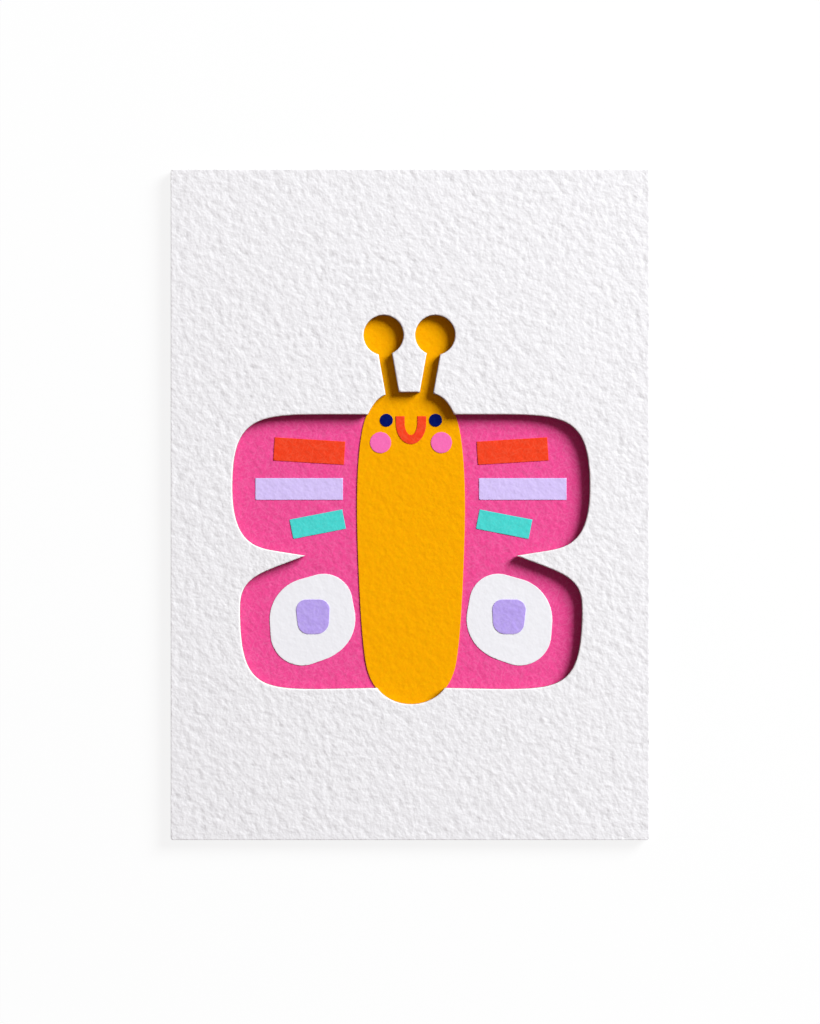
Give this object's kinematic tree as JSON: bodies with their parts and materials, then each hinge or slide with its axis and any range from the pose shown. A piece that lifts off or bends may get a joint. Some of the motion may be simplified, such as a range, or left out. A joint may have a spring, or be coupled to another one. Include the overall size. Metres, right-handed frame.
{
  "type": "die-cut butterfly card",
  "caption": "Flat white card with a butterfly-shaped window in its thick front board, over layered coloured papers that form wings, body, antennae and a plain face.",
  "frame": {"origin": "middle of the card's back face, which lies on the surface", "axes": "+Z out of the decorated front, +Y towards the butterfly's antennae, +X to the viewer's right"},
  "size_m": [0.127, 0.178, 0.0034],
  "materials": {
    "textured_board": "thick white board with a rough tooth",
    "white_card": "plain white card, fine tooth",
    "mounting_tape": "white double-sided foam tape",
    "pink_paper": "matt coloured paper",
    "yellow_paper": "matt coloured paper",
    "red_paper": "matt coloured paper",
    "lavender_paper": "matt coloured paper",
    "turquoise_paper": "matt coloured paper",
    "white_paper": "matt white paper",
    "lilac_paper": "matt coloured paper",
    "navy_paper": "matt coloured paper",
    "blush_paper": "matt coloured paper"
  },
  "bodies": {
    "root": {"front_board": "textured_board", "backing_card": "white_card", "tape_top": "mounting_tape", "tape_bottom": "mounting_tape", "tape_left": "mounting_tape", "tape_right": "mounting_tape", "wing_sheet": "pink_paper", "body_piece": "yellow_paper", "smile": "red_paper", "bar_red_left": "red_paper", "bar_lavender_left": "lavender_paper", "bar_turquoise_left": "turquoise_paper", "spot_left": "white_paper", "spot_centre_left": "lilac_paper", "eye_left": "navy_paper", "cheek_left": "blush_paper", "bar_red_right": "red_paper", "bar_lavender_right": "lavender_paper", "bar_turquoise_right": "turquoise_paper", "spot_right": "white_paper", "spot_centre_right": "lilac_paper", "eye_right": "navy_paper", "cheek_right": "blush_paper"}
  },
  "joints": []
}
